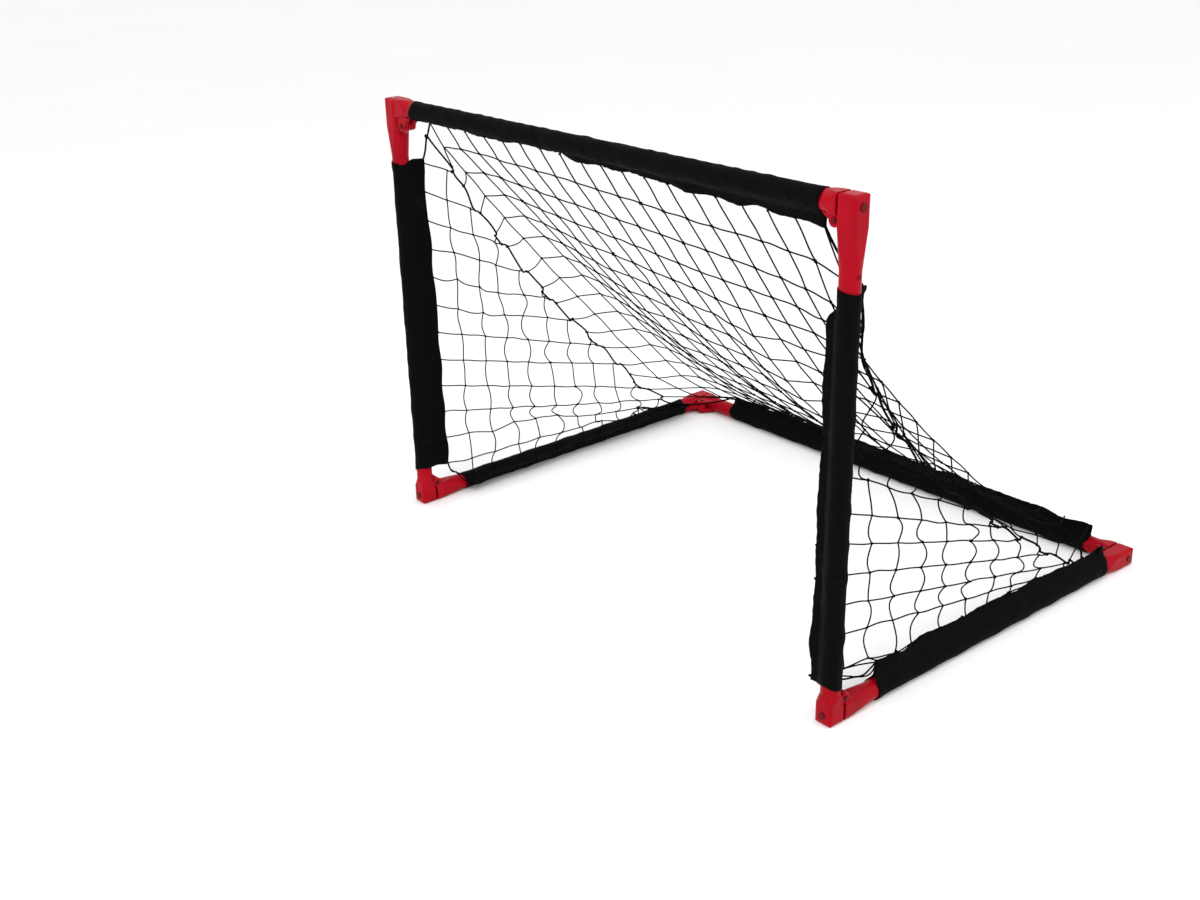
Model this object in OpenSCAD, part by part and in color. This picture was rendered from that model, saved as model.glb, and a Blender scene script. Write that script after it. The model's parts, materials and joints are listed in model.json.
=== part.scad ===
// Folding practice goal: six sleeved tubes, six hinged corners and a knotted net.
// Each corner has a clevis fitting on one bar and a tongue fitting on the other, on a
// pin that stands inside the corner. The front frame folds down onto the base, and each
// post then folds in with the side bar under it.

/* [Goal] */
// Overall width over the corner fittings
goal_w = 1270; // [1150:5:1400]
// Overall height, and overall depth, over the corner fittings
goal_h = 914; // [840:1:1000]

/* [Bars] */
// Outside diameter of every tube
tube_d = 30; // [26:0.5:30]
// Wall of every tube
tube_wall = 2; // [1.2:0.1:3]

/* [Fittings] */
// Side of the square head at each corner
head = 38; // [37:0.5:40]
// Radius of the head's edges
head_round = 8; // [4:0.5:9]
// Outside diameter of the round socket
socket_d = 35; // [34:0.5:36]
// Reach of a post's top fitting and a side bar's fittings, from the corner
leg_reach = 150; // [145:1:180]
// Reach of the fittings on the top bar and the back bar, from the corner
bar_reach = 125; // [115:1:150]
// Reach of a post's foot, from the corner
foot_reach = 120; // [115:1:150]

/* [Hinges] */
// Pin's distance from both bars at the right corners
right_pin = 24; // [23:0.5:25]
// Pin's distance from both bars at the left corners, which fold over the right ones
left_pin = 34; // [33:0.5:35]
// Pin's distance from both bars at the front feet
front_pin = 24; // [23:0.5:25]
// Diameter of the hinge pins
pin_d = 6; // [4:0.5:6]
// Radius of the rounded ears and tongues
ear_r = 11; // [10:0.5:11]

/* [Sleeves] */
// Width of the sewn hem that carries the net
hem = 24; // [16:1:26]
// Length of the sleeve on a post or a side bar
leg_sleeve = 695; // [600:5:700]

/* [Net] */
// How far the net sags below the straight line from the top bar to the back bar
net_sag = 85; // [40:5:100]

/* [Hidden] */
$fn = 48;

fitting_red = "#b3061c";
sleeve_black = "#151416";
tube_grey = "#2b2b2d";
pin_steel = "#b9bcc0";
net_black = "#1a1817";

h = head / 2;                       // half of a head, and the height of the base bars
run_w = goal_w - head;              // between the left and right corner points
run_h = goal_h - head;              // between the base and the top bar, and front to back
tube_r = tube_d / 2;
socket_r = socket_d / 2;
sleeve_in = socket_r + 0.2;
sleeve_out = sleeve_in + 0.8;
hem_t = 2.4;
hem_tip = sleeve_in + hem;

pin_r = pin_d / 2;
run_fit = 0.06;                     // radial clearance of a turning pin
snug_fit = 0.02;                    // radial clearance of a fixed pin, rivet or screw
tube_fit = 0.05;
hinge_gap = 0.6;                    // between the two heads of a hinge corner
foot_gap = 2.2;                     // the same at the feet, whose hinge unhooks
tongue_half = 6;                    // half thickness of a tongue
foot_tongue_half = 5;               // half thickness of a foot's hook
slot_half = tongue_half + 0.3;      // half of the clevis slot
foot_slot_half = foot_tongue_half + 2.2;
ear_t = 8.4;
foot_ear_t = 7.5;
notch = 1.2;                        // radial room round an ear or a tongue
foot_notch = 2.6;
web_root = h - 4;                   // where an ear or a tongue starts, inside its head
web_run = 14;                       // length of the sloping web beside an ear
hook_play = 1.5;                    // extra depth of the foot's hook
hook_half = pin_r + 0.6;            // half of the hook's mouth

// Each neck slopes from the square head to the round socket, as [from, to] along its bar
left_bar_neck = [25, 60];
right_bar_neck = [25, 52];
post_neck = [32, 98];
rear_neck = [32, 70];
front_neck = [30, 96];
foot_neck = [20, 38];

pin_head_r = pin_r + 1.8;
pin_head_t = 2.2;
pin_tip = 0.8;                      // length of the pin's end beyond its nut
nut_t = 1.6;
nut_r = pin_r + 1.8;
seat_gap = 0.1;                     // under a pin's head or nut
hinge_face = slot_half + ear_t;     // outer face of an ear
foot_face = foot_slot_half + foot_ear_t;

bar_seat = 50;                      // where a tube ends in a bar fitting
leg_seat = 60;                      // where a tube ends in a post or side fitting
tube_gap = 0.2;                     // between a tube's end and its seat
leg_rivet_back = 44;                // from the end of a leg fitting to its rivet
bar_rivet_back = 20;                // from the end of a bar fitting to its rivet
rivet_r = 2.4;
rivet_head_r = 3.6;
rivet_dome = 1.1;
screw_r = 4.5;
screw_head_r = 6.5;
screw_proud = 2;
screw_in = 9;

head_corner_r = (h - head_round) * sqrt(2) + head_round;
neck_end_r = socket_r + 0.15;

front_y = -run_h / 2 + screw_proud / 2;
back_y = front_y + run_h;
base_z = h;
top_z = base_z + run_h;
side_x = run_w / 2;

X = [1, 0, 0];
Y = [0, 1, 0];
Z = [0, 0, 1];
TOP_LEFT = [[-side_x, front_y, top_z], X, -Z];
TOP_RIGHT = [[side_x, front_y, top_z], -X, -Z];
BACK_LEFT = [[-side_x, back_y, base_z], X, -Y];
BACK_RIGHT = [[side_x, back_y, base_z], -X, -Y];
FRONT_LEFT = [[-side_x, front_y, base_z], Y, Z];
FRONT_RIGHT = [[side_x, front_y, base_z], Y, Z];

// Sleeve ends, from the corner that each sleeve is measured from
top_sleeve_ends = [72, 54];         // from the top left and top right corners
back_sleeve_ends = [122, 73];       // from the back left and back right corners
left_post_sleeve_from = 68;         // above the left foot
right_post_sleeve_from = 52;        // above the right foot
left_side_sleeve_from = 104;        // behind the left foot
right_side_sleeve_from = 108;       // behind the right foot

// Draws its children in a corner's own axes: one bar along x, the other along y
module in_corner(corner) {
    at = corner[0];
    u = corner[1];
    v = corner[2];
    w = cross(u, v);
    multmatrix([[u[0], v[0], w[0], at[0]],
                [u[1], v[1], w[1], at[1]],
                [u[2], v[2], w[2], at[2]],
                [0, 0, 0, 1]])
        children();
}

module along_x() { rotate([0, 90, 0]) children(); }
module along_y() { rotate([-90, 0, 0]) children(); }

module rounded_rect(x, y, r) {
    translate([r, 0]) square([x - 2 * r, y]);
    translate([0, r]) square([x, y - 2 * r]);
    for (cx = [r, x - r], cy = [r, y - r])
        translate([cx, cy]) circle(r);
}

// A fitting's body along z: square head, sloping neck, round socket
module body(from, neck_from, neck_to, reach) {
    intersection() {
        translate([-h, -h, from]) linear_extrude(reach - from)
            rounded_rect(head, head, head_round);
        union() {
            translate([0, 0, from]) cylinder(h = neck_from - from, r = 2 * head);
            translate([0, 0, neck_from])
                cylinder(h = neck_to - neck_from, r1 = head_corner_r, r2 = neck_end_r);
            translate([0, 0, neck_from]) cylinder(h = reach - neck_from, r = socket_r);
        }
    }
}

// Outline with both free corners of a head rounded, from -h up to the reach
module head_outline(reach) {
    translate([-h, -h]) rounded_rect(head, reach + head, head_round);
}

module clevis_ear(pin, gap) {
    from = max(pin - ear_r, h + gap);
    translate([pin, pin]) circle(ear_r);
    polygon([[from, web_root], [from, pin], [pin + ear_r, pin],
             [pin + ear_r + web_run, web_root]]);
}

module tongue_plate(pin) {
    translate([pin, pin]) circle(ear_r);
    polygon([[web_root, pin - ear_r], [pin, pin - ear_r], [pin, pin + ear_r],
             [web_root, pin + ear_r + web_run]]);
}

// Clevis fitting, along x: its two ears hold the pin
module clevis_fitting(pin, gap, slot, ear, room, neck, reach) {
    difference() {
        union() {
            along_x() body(h + gap, neck[0], neck[1], reach);
            for (side = [0, 1])
                mirror([0, 0, side]) translate([0, 0, slot]) linear_extrude(ear)
                    clevis_ear(pin, gap);
        }
        translate([pin, pin, -slot]) cylinder(h = 2 * slot, r = ear_r + room);
        translate([pin, pin, -h]) cylinder(h = head, r = pin_r + snug_fit);
        translate([bar_seat, 0, 0]) along_x() cylinder(h = reach, r = tube_r + tube_fit);
        translate([bar_rivet_at(reach), 0, 0]) along_y()
            translate([0, 0, -head]) cylinder(h = head, r = rivet_r + snug_fit);
    }
}

// Tongue fitting, along y: its tongue turns on the pin
module tongue_fitting(pin, half, relief_to, room, neck, reach, hook) {
    difference() {
        union() {
            intersection() {
                along_y() body(-h, neck[0], neck[1], reach);
                translate([0, 0, -head]) linear_extrude(2 * head) head_outline(reach);
                rotate([0, -90, 0]) translate([0, 0, -head]) linear_extrude(2 * head)
                    head_outline(reach);
            }
            translate([0, 0, -half]) linear_extrude(2 * half) tongue_plate(pin);
        }
        for (side = [0, 1])
            mirror([0, 0, side]) translate([pin, pin, half])
                cylinder(h = relief_to - half, r = ear_r + room);
        if (hook)
            translate([pin, pin, 0]) rotate([0, 0, -45]) hook_slot();
        else
            translate([pin, pin, -h]) cylinder(h = head, r = pin_r + run_fit);
        translate([0, leg_seat, 0]) along_y() cylinder(h = reach, r = tube_r + tube_fit);
        translate([0, leg_rivet_at(reach), 0]) along_x()
            translate([0, 0, -head]) cylinder(h = head, r = rivet_r + snug_fit);
        translate([-head, 0, 0]) along_x()
            cylinder(h = head - h + screw_in, r = screw_r + snug_fit);
    }
}

// The slot of a foot's hook: the pin leaves it along x
module hook_slot() {
    translate([-hook_play, 0, -h]) cylinder(h = head, r = hook_half);
    translate([-hook_play, -hook_half, -h]) cube([3 * ear_r, 2 * hook_half, head]);
}

function leg_rivet_at(reach) = reach - leg_rivet_back;
function bar_rivet_at(reach) = reach - bar_rivet_back;

module hinge_clevis(pin, neck) {
    color(fitting_red)
        clevis_fitting(pin, hinge_gap, slot_half, ear_t, notch, neck, bar_reach);
}

module foot_clevis() {
    color(fitting_red)
        clevis_fitting(front_pin, foot_gap, foot_slot_half, foot_ear_t, foot_notch,
                       front_neck, leg_reach);
}

module hinge_tongue(pin, neck) {
    color(fitting_red)
        tongue_fitting(pin, tongue_half, hinge_face + pin_tip, notch, neck, leg_reach, false);
}

module foot_hook() {
    color(fitting_red)
        tongue_fitting(front_pin, foot_tongue_half, head, foot_notch, foot_neck,
                       foot_reach, true);
}

// Pin through a clevis, with its head on the side given as 1 or -1
module hinge_pin(pin, ear_face, side) {
    color(pin_steel) translate([pin, pin, 0]) facing(side) {
        translate([0, 0, -ear_face - nut_t - pin_tip])
            cylinder(h = 2 * ear_face + nut_t + pin_tip + seat_gap, r = pin_r);
        translate([0, 0, ear_face + seat_gap]) cylinder(h = pin_head_t, r = pin_head_r);
    }
}

module pin_nut(pin, ear_face, side) {
    color(pin_steel) translate([pin, pin, 0]) facing(side)
        translate([0, 0, -ear_face - seat_gap - nut_t]) difference() {
            cylinder(h = nut_t, r = nut_r);
            translate([0, 0, -1]) cylinder(h = nut_t + 2, r = pin_r + snug_fit);
        }
}

module facing(side) { mirror([0, 0, side > 0 ? 0 : 1]) children(); }

// Rivet through a socket and its tube, pointing out along -z
module rivet(proud) {
    color(pin_steel) {
        translate([0, 0, -socket_r])
            cylinder(h = socket_r - tube_r + tube_wall - seat_gap, r = rivet_r);
        if (proud)
            translate([0, 0, -socket_r - rivet_dome]) cylinder(h = rivet_dome, r = rivet_head_r);
    }
}

module leg_rivet(reach, proud) {
    translate([0, leg_rivet_at(reach), 0]) along_x() rivet(proud);
}

module bar_rivet(reach) {
    translate([bar_rivet_at(reach), 0, 0]) along_y() rivet(false);
}

// Screw on a tongue fitting's outer face, in line with the other bar
module cap_screw() {
    color(pin_steel) translate([-h, 0, 0]) along_x() {
        cylinder(h = screw_in - 0.5, r = screw_r);
        translate([0, 0, -screw_proud]) cylinder(h = screw_proud, r = screw_head_r);
    }
}

// Tube along z, with rivet holes given as [distance, direction in degrees]
module tube(length, holes) {
    color(tube_grey) difference() {
        cylinder(h = length, r = tube_r);
        translate([0, 0, -1]) cylinder(h = length + 2, r = tube_r - tube_wall);
        for (hole = holes)
            translate([0, 0, hole[0]]) rotate([0, 90, hole[1]])
                cylinder(h = head, r = rivet_r + snug_fit);
    }
}

// Sleeve along z, with its hem standing out along x
module sleeve(length) {
    color(sleeve_black) linear_extrude(length) {
        difference() {
            circle(sleeve_out);
            circle(sleeve_in);
        }
        translate([sleeve_in + 0.1, -hem_t / 2]) square([hem, hem_t]);
    }
}

// Sagging line across the goal's side view, as [depth from the front, height from the base]
net_steps = 12;
diagonal = [1, 1] / sqrt(2);
function sag_point(from, to, t, drop) = from + t * (to - from) - drop * 4 * t * (1 - t) * diagonal;
function sag_line(from, to, drop, out) =
    [for (i = [0 : net_steps]) sag_point(from, to, i / net_steps, drop) + out * diagonal];
function backwards(points) = [for (i = [len(points) - 1 : -1 : 0]) points[i]];

net_t = 2;
cord_t = 5;
net_edge = hem_tip + 1.6;           // where a side net starts, from its bars
net_corner = 60;                    // from a side net's tip to the bar across it
roof_from = [tongue_half + 2, run_h - left_pin - ear_r - 4];
roof_to = [run_h - hem_tip / sqrt(2) - 4, hem_tip / sqrt(2) + 2];
side_from = [net_edge, run_h - net_corner];
side_to = [run_h - net_corner, net_edge];
cord_edge = 26;                     // from a seam cord's end to its nearer bar
cord_corner = 64;                   // from a seam cord's end to the bar across it
cord_from = [cord_edge, run_h - cord_corner];
cord_to = [run_h - cord_corner, cord_edge];
cord_sag = 0.85 * net_sag;
cord_x = side_x - 12;
roof_half = side_x - 24;

// Sheet that follows a sagging line, across the goal between two x positions
module sagging_sheet(from, to, drop, thick, x0, x1) {
    outer = sag_line(from, to, drop, thick / 2);
    inner = sag_line(from, to, drop, -thick / 2);
    translate([x0, front_y, base_z]) rotate([90, 0, 90]) linear_extrude(x1 - x0)
        polygon(concat(outer, backwards(inner)));
}

module side_net(x) {
    color(net_black) translate([x - net_t / 2, front_y, base_z]) rotate([90, 0, 90])
        linear_extrude(net_t)
            polygon(concat([[net_edge, net_edge]],
                           backwards(sag_line(side_from, side_to, net_sag, 0))));
}

module seam_cord(x) {
    color(net_black)
        sagging_sheet(cord_from, cord_to, cord_sag, cord_t, x - cord_t / 2, x + cord_t / 2);
}

// Top bar or back bar, measured from its left corner
module long_tube(corner) {
    length = run_w - 2 * (bar_seat + tube_gap);
    hole = bar_rivet_at(bar_reach) - bar_seat - tube_gap;
    in_corner(corner) translate([bar_seat + tube_gap, 0, 0]) along_x()
        tube(length, [[hole, -90], [length - hole, -90]]);
}
module long_sleeve(corner, ends, hem_turn) {
    in_corner(corner) translate([ends[0], 0, 0]) along_x()
        rotate([0, 0, hem_turn]) sleeve(run_w - ends[0] - ends[1]);
}
module long_nuts(left, right) {
    in_corner(left) pin_nut(left_pin, hinge_face, -1);
    in_corner(right) pin_nut(right_pin, hinge_face, 1);
}
module long_rivets(left, right) {
    for (corner = [left, right])
        in_corner(corner) bar_rivet(bar_reach);
}

// Post, measured from its foot; out is 1 for the left post and -1 for the right one
module post_tube(foot, out) {
    low = leg_rivet_at(foot_reach) - leg_seat - tube_gap;
    high = run_h - leg_rivet_at(leg_reach) - leg_seat - tube_gap;
    in_corner(foot) translate([0, leg_seat + tube_gap, 0]) along_y()
        tube(run_h - 2 * (leg_seat + tube_gap), [[low, 180], [high, 90 * out]]);
}
module post_sleeve(foot, from) {
    in_corner(foot) translate([0, from, 0]) along_y() sleeve(leg_sleeve);
}
module post_rivets(top, foot) {
    in_corner(top) leg_rivet(leg_reach, true);
    in_corner(foot) leg_rivet(foot_reach, false);
}
module post_screws(top, foot) {
    for (corner = [top, foot])
        in_corner(corner) cap_screw();
}

// Side bar, measured from the foot in front of it
module side_tube(foot, out) {
    front = bar_rivet_at(leg_reach) - bar_seat - tube_gap;
    rear = run_h - leg_rivet_at(leg_reach) - bar_seat - tube_gap;
    in_corner(foot) translate([bar_seat + tube_gap, 0, 0]) along_x()
        tube(run_h - bar_seat - leg_seat - 2 * tube_gap,
             [[front, -90], [rear, out > 0 ? 0 : 180]]);
}
module side_sleeve(foot, from) {
    in_corner(foot) translate([from, 0, 0]) along_x() rotate([0, 0, 90]) sleeve(leg_sleeve);
}
module side_rivets(foot, rear) {
    in_corner(foot) bar_rivet(leg_reach);
    in_corner(rear) leg_rivet(leg_reach, false);
}

module back_tube() { long_tube(BACK_LEFT); }
module back_sleeve() { long_sleeve(BACK_LEFT, back_sleeve_ends, 45); }
module back_left_fitting() { in_corner(BACK_LEFT) hinge_clevis(left_pin, left_bar_neck); }
module back_right_fitting() { in_corner(BACK_RIGHT) hinge_clevis(right_pin, right_bar_neck); }
module back_left_pin() { in_corner(BACK_LEFT) hinge_pin(left_pin, hinge_face, -1); }
module back_right_pin() { in_corner(BACK_RIGHT) hinge_pin(right_pin, hinge_face, 1); }
module back_pin_nuts() { long_nuts(BACK_LEFT, BACK_RIGHT); }
module back_rivets() { long_rivets(BACK_LEFT, BACK_RIGHT); }
module roof_net() {
    color(net_black) sagging_sheet(roof_from, roof_to, net_sag, net_t, -roof_half, roof_half);
}
module left_seam_cord() { seam_cord(-cord_x); }
module right_seam_cord() { seam_cord(cord_x); }

module top_tube() { long_tube(TOP_LEFT); }
module top_sleeve() { long_sleeve(TOP_LEFT, top_sleeve_ends, 90); }
module top_left_fitting() { in_corner(TOP_LEFT) hinge_clevis(left_pin, left_bar_neck); }
module top_right_fitting() { in_corner(TOP_RIGHT) hinge_clevis(right_pin, right_bar_neck); }
module top_left_pin() { in_corner(TOP_LEFT) hinge_pin(left_pin, hinge_face, -1); }
module top_right_pin() { in_corner(TOP_RIGHT) hinge_pin(right_pin, hinge_face, 1); }
module top_pin_nuts() { long_nuts(TOP_LEFT, TOP_RIGHT); }
module top_rivets() { long_rivets(TOP_LEFT, TOP_RIGHT); }

module left_post_tube() { post_tube(FRONT_LEFT, 1); }
module left_post_sleeve() { post_sleeve(FRONT_LEFT, left_post_sleeve_from); }
module left_post_head() { in_corner(TOP_LEFT) hinge_tongue(left_pin, post_neck); }
module left_post_foot() { in_corner(FRONT_LEFT) foot_hook(); }
module left_post_cap_screws() { post_screws(TOP_LEFT, FRONT_LEFT); }
module left_post_rivets() { post_rivets(TOP_LEFT, FRONT_LEFT); }

module right_post_tube() { post_tube(FRONT_RIGHT, -1); }
module right_post_sleeve() { post_sleeve(FRONT_RIGHT, right_post_sleeve_from); }
module right_post_head() { in_corner(TOP_RIGHT) hinge_tongue(right_pin, post_neck); }
module right_post_foot() { in_corner(FRONT_RIGHT) foot_hook(); }
module right_post_cap_screws() { post_screws(TOP_RIGHT, FRONT_RIGHT); }
module right_post_rivets() { post_rivets(TOP_RIGHT, FRONT_RIGHT); }

module left_side_tube() { side_tube(FRONT_LEFT, 1); }
module left_side_sleeve() { side_sleeve(FRONT_LEFT, left_side_sleeve_from); }
module left_side_front_fitting() { in_corner(FRONT_LEFT) foot_clevis(); }
module left_side_rear_fitting() { in_corner(BACK_LEFT) hinge_tongue(left_pin, rear_neck); }
module left_side_pin() { in_corner(FRONT_LEFT) hinge_pin(front_pin, foot_face, -1); }
module left_side_pin_nut() { in_corner(FRONT_LEFT) pin_nut(front_pin, foot_face, -1); }
module left_side_cap_screw() { in_corner(BACK_LEFT) cap_screw(); }
module left_side_rivets() { side_rivets(FRONT_LEFT, BACK_LEFT); }
module left_net() { side_net(-side_x); }

module right_side_tube() { side_tube(FRONT_RIGHT, -1); }
module right_side_sleeve() { side_sleeve(FRONT_RIGHT, right_side_sleeve_from); }
module right_side_front_fitting() { in_corner(FRONT_RIGHT) foot_clevis(); }
module right_side_rear_fitting() { in_corner(BACK_RIGHT) hinge_tongue(right_pin, rear_neck); }
module right_side_pin() { in_corner(FRONT_RIGHT) hinge_pin(front_pin, foot_face, 1); }
module right_side_pin_nut() { in_corner(FRONT_RIGHT) pin_nut(front_pin, foot_face, 1); }
module right_side_cap_screw() { in_corner(BACK_RIGHT) cap_screw(); }
module right_side_rivets() { side_rivets(FRONT_RIGHT, BACK_RIGHT); }
module right_net() { side_net(side_x); }

back_tube();
back_sleeve();
back_left_fitting();
back_right_fitting();
back_left_pin();
back_right_pin();
back_pin_nuts();
back_rivets();
roof_net();
left_seam_cord();
right_seam_cord();
top_tube();
top_sleeve();
top_left_fitting();
top_right_fitting();
top_left_pin();
top_right_pin();
top_pin_nuts();
top_rivets();
left_post_tube();
left_post_sleeve();
left_post_head();
left_post_foot();
left_post_cap_screws();
left_post_rivets();
right_post_tube();
right_post_sleeve();
right_post_head();
right_post_foot();
right_post_cap_screws();
right_post_rivets();
left_side_tube();
left_side_sleeve();
left_side_front_fitting();
left_side_rear_fitting();
left_side_pin();
left_side_pin_nut();
left_side_cap_screw();
left_side_rivets();
left_net();
right_side_tube();
right_side_sleeve();
right_side_front_fitting();
right_side_rear_fitting();
right_side_pin();
right_side_pin_nut();
right_side_cap_screw();
right_side_rivets();
right_net();
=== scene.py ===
"""Folding practice goal: cloth sleeves, knotted nets, seam cords, finishes and stage."""

import json
import math

import bpy
import numpy as np
from bpy.props import (
    FloatProperty,
    FloatVectorProperty,
    IntProperty,
    PointerProperty,
)
from mathutils import Matrix, Vector


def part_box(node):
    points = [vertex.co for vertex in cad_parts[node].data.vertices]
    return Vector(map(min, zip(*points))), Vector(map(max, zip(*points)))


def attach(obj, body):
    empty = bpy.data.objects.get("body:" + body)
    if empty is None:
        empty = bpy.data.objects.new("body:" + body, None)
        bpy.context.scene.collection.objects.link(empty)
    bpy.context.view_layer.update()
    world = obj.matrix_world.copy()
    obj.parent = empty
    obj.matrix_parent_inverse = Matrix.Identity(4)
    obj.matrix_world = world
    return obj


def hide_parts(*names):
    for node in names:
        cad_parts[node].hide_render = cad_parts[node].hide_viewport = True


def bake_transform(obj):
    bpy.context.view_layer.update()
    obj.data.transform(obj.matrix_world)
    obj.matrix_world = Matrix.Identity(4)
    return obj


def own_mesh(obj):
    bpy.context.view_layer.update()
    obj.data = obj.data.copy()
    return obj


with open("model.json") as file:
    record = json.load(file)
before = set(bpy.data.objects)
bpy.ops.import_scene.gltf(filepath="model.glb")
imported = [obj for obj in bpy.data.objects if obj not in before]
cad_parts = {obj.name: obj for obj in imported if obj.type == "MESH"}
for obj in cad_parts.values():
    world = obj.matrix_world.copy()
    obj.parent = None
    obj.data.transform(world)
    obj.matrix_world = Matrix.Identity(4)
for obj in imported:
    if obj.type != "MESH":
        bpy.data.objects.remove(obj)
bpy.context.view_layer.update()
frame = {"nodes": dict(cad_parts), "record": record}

bl_info = {
    "name": "Folding goal",
    "version": (1, 0, 0),
    "blender": (4, 5, 0),
    "location": "View3D > Sidebar > Goal",
    "description": "Sleeves, nets, cords and finishes for a folding practice goal",
    "category": "Object",
}

X, Y, Z = np.eye(3)
SIDES = ("left", "right")
INWARD = {"left": 1, "right": -1}


def box(node):
    """A CAD node's lowest and highest corners, as arrays."""
    low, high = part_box(node)
    return np.array(low), np.array(high)


def middle(node):
    """The middle of a CAD node's box."""
    low, high = box(node)
    return (low + high) / 2


# Where the bars run, from the tubes inside the sleeves
TOP = middle("top_tube")
BACK = middle("back_tube")
POST = {side: middle(f"{side}_post_tube") for side in SIDES}
SIDE_BAR = {side: middle(f"{side}_side_tube") for side in SIDES}

# Each sleeve: its bar's middle, the direction along the bar, the hem's direction before it
# turns, the body, and the hem's course: (share of the length, degrees turned, reach)
SLEEVES = {
    "top_sleeve": (
        TOP, X, -Z, "top_bar",
        ((0, 45, 0.0425), (0.35, 44, 0.0430), (0.65, 25, 0.0425), (0.95, 8, 0.0425),
         (1, 6, 0.043)),
    ),
    "back_sleeve": (
        BACK, X, Z, "back_bar",
        ((0, 6, 0.043), (0.4, -4, 0.0425), (1, 2, 0.0425)),
    ),
    "left_post_sleeve": (
        POST["left"], Z, Y, "left_post",
        ((0, -34, 0.057), (0.6, -30, 0.054), (0.9, -27, 0.048), (1, -24, 0.047)),
    ),
    "right_post_sleeve": (
        POST["right"], Z, Y, "right_post",
        ((0, 98, 0.044), (0.5, 94, 0.0425), (0.925, 92, 0.042), (0.972, 14, 0.0425),
         (1, 6, 0.0425)),
    ),
    "left_side_sleeve": (
        SIDE_BAR["left"], Y, Z, "left_side",
        ((0, 84, 0.0425), (0.3, 74, 0.0425), (1, 66, 0.0425)),
    ),
    "right_side_sleeve": (
        SIDE_BAR["right"], Y, Z, "right_side",
        ((0, 4, 0.057), (0.4, -3, 0.052), (1, 0, 0.0435)),
    ),
}


class Hem:
    """A sleeve's hem: where it starts and ends, which way it points and how far it reaches."""

    # The net is sewn in this far inside the hem's edge, and stays this far from its ends
    SEWN_INSIDE = 0.0015
    FROM_END = 0.004

    def __init__(self, name):
        bar, self.along, self.towards, self.body, course = SLEEVES[name]
        self.across = np.cross(self.along, self.towards)
        self.axis = bar * (1 - self.along)
        low, high = box(name)
        self.start, self.end = low @ self.along, high @ self.along
        self.shares, self.turns, self.reaches = np.array(course, float).T

    def at(self, place, values):
        """The course's value at a place along the bar."""
        share = (place - self.start) / (self.end - self.start)
        return float(np.interp(share, self.shares, values))

    def directions(self, place):
        """The hem's direction and the one across it, at a place along the bar."""
        turn = math.radians(self.at(place, self.turns))
        out = math.cos(turn) * self.towards + math.sin(turn) * self.across
        return out, np.cross(self.along, out)

    def reach(self, place):
        """How far the hem's edge lies from the bar's middle."""
        return self.at(place, self.reaches)

    def edge(self, place):
        """The point where the net is sewn in."""
        place = min(max(place, self.start + self.FROM_END), self.end - self.FROM_END)
        out, _ = self.directions(place)
        return self.axis + self.along * place + out * (self.reach(place) - self.SEWN_INSIDE)


class SleeveSettings(bpy.types.PropertyGroup):
    cloth: FloatProperty(
        name="Cloth", description="Thickness of the cloth", default=0.0007, unit="LENGTH"
    )
    radius: FloatProperty(
        name="Radius", description="Radius of the cloth round a bar", default=0.0186,
        unit="LENGTH",
    )
    hem: FloatProperty(
        name="Hem", description="From the bar's middle to the hem's edge", default=0.0425,
        unit="LENGTH",
    )
    wave: FloatProperty(
        name="Wave", description="How far the hem waves sideways", default=0.0028, unit="LENGTH"
    )
    wrinkle: FloatProperty(
        name="Wrinkle", description="Height of the creases", default=0.0009, unit="LENGTH"
    )
    colour: FloatVectorProperty(
        name="Colour", description="Colour of the cloth", default=(0.0018, 0.0017, 0.0019),
        subtype="COLOR", size=3,
    )


class NetSettings(bpy.types.PropertyGroup):
    columns: IntProperty(
        name="Columns", description="Meshes across the roof net", default=20, min=6
    )
    rows: IntProperty(
        name="Rows", description="Meshes down the roof net", default=16, min=6
    )
    side_meshes: IntProperty(
        name="Side meshes", description="Meshes along a side net's edge", default=12, min=5
    )
    cord: FloatProperty(
        name="Cord", description="Diameter of the net's cord", default=0.0029, unit="LENGTH"
    )
    knot: FloatProperty(
        name="Knot", description="Diameter of a knot", default=0.0048, unit="LENGTH"
    )
    seam: FloatProperty(
        name="Seam cord", description="Diameter of the seam cords", default=0.0042,
        unit="LENGTH",
    )
    slack_left: FloatProperty(
        name="Slack at the left", description="Spare length of the roof net's first column",
        default=0.0085, min=0.0, max=0.2,
    )
    slack_middle: FloatProperty(
        name="Slack in the middle",
        description="Spare length of the roof net's middle columns",
        default=0.018, min=0.0, max=0.2,
    )
    slack_right: FloatProperty(
        name="Slack at the right", description="Spare length of the roof net's last column",
        default=0.031, min=0.0, max=0.2,
    )
    colour: FloatVectorProperty(
        name="Colour", description="Colour of the cord", default=(0.0016, 0.0014, 0.0014),
        subtype="COLOR", size=3,
    )


class FittingSettings(bpy.types.PropertyGroup):
    red: FloatVectorProperty(
        name="Red", description="Colour of the corner fittings", default=(0.32, 0.0006, 0.008),
        subtype="COLOR", size=3,
    )
    roughness: FloatProperty(
        name="Roughness", description="Roughness of the fittings", default=0.34,
        min=0.0, max=1.0,
    )


class StageSettings(bpy.types.PropertyGroup):
    lens: FloatProperty(
        name="Lens", description="Focal length", default=44.64, unit="CAMERA"
    )
    floor: FloatVectorProperty(
        name="Floor", description="Colour of the floor", default=(0.89, 0.89, 0.89),
        subtype="COLOR", size=3,
    )


class GoalSettings(bpy.types.PropertyGroup):
    sleeves: PointerProperty(type=SleeveSettings)
    nets: PointerProperty(type=NetSettings)
    fittings: PointerProperty(type=FittingSettings)
    stage: PointerProperty(type=StageSettings)


# ---------------------------------------------------------------- materials


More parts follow.
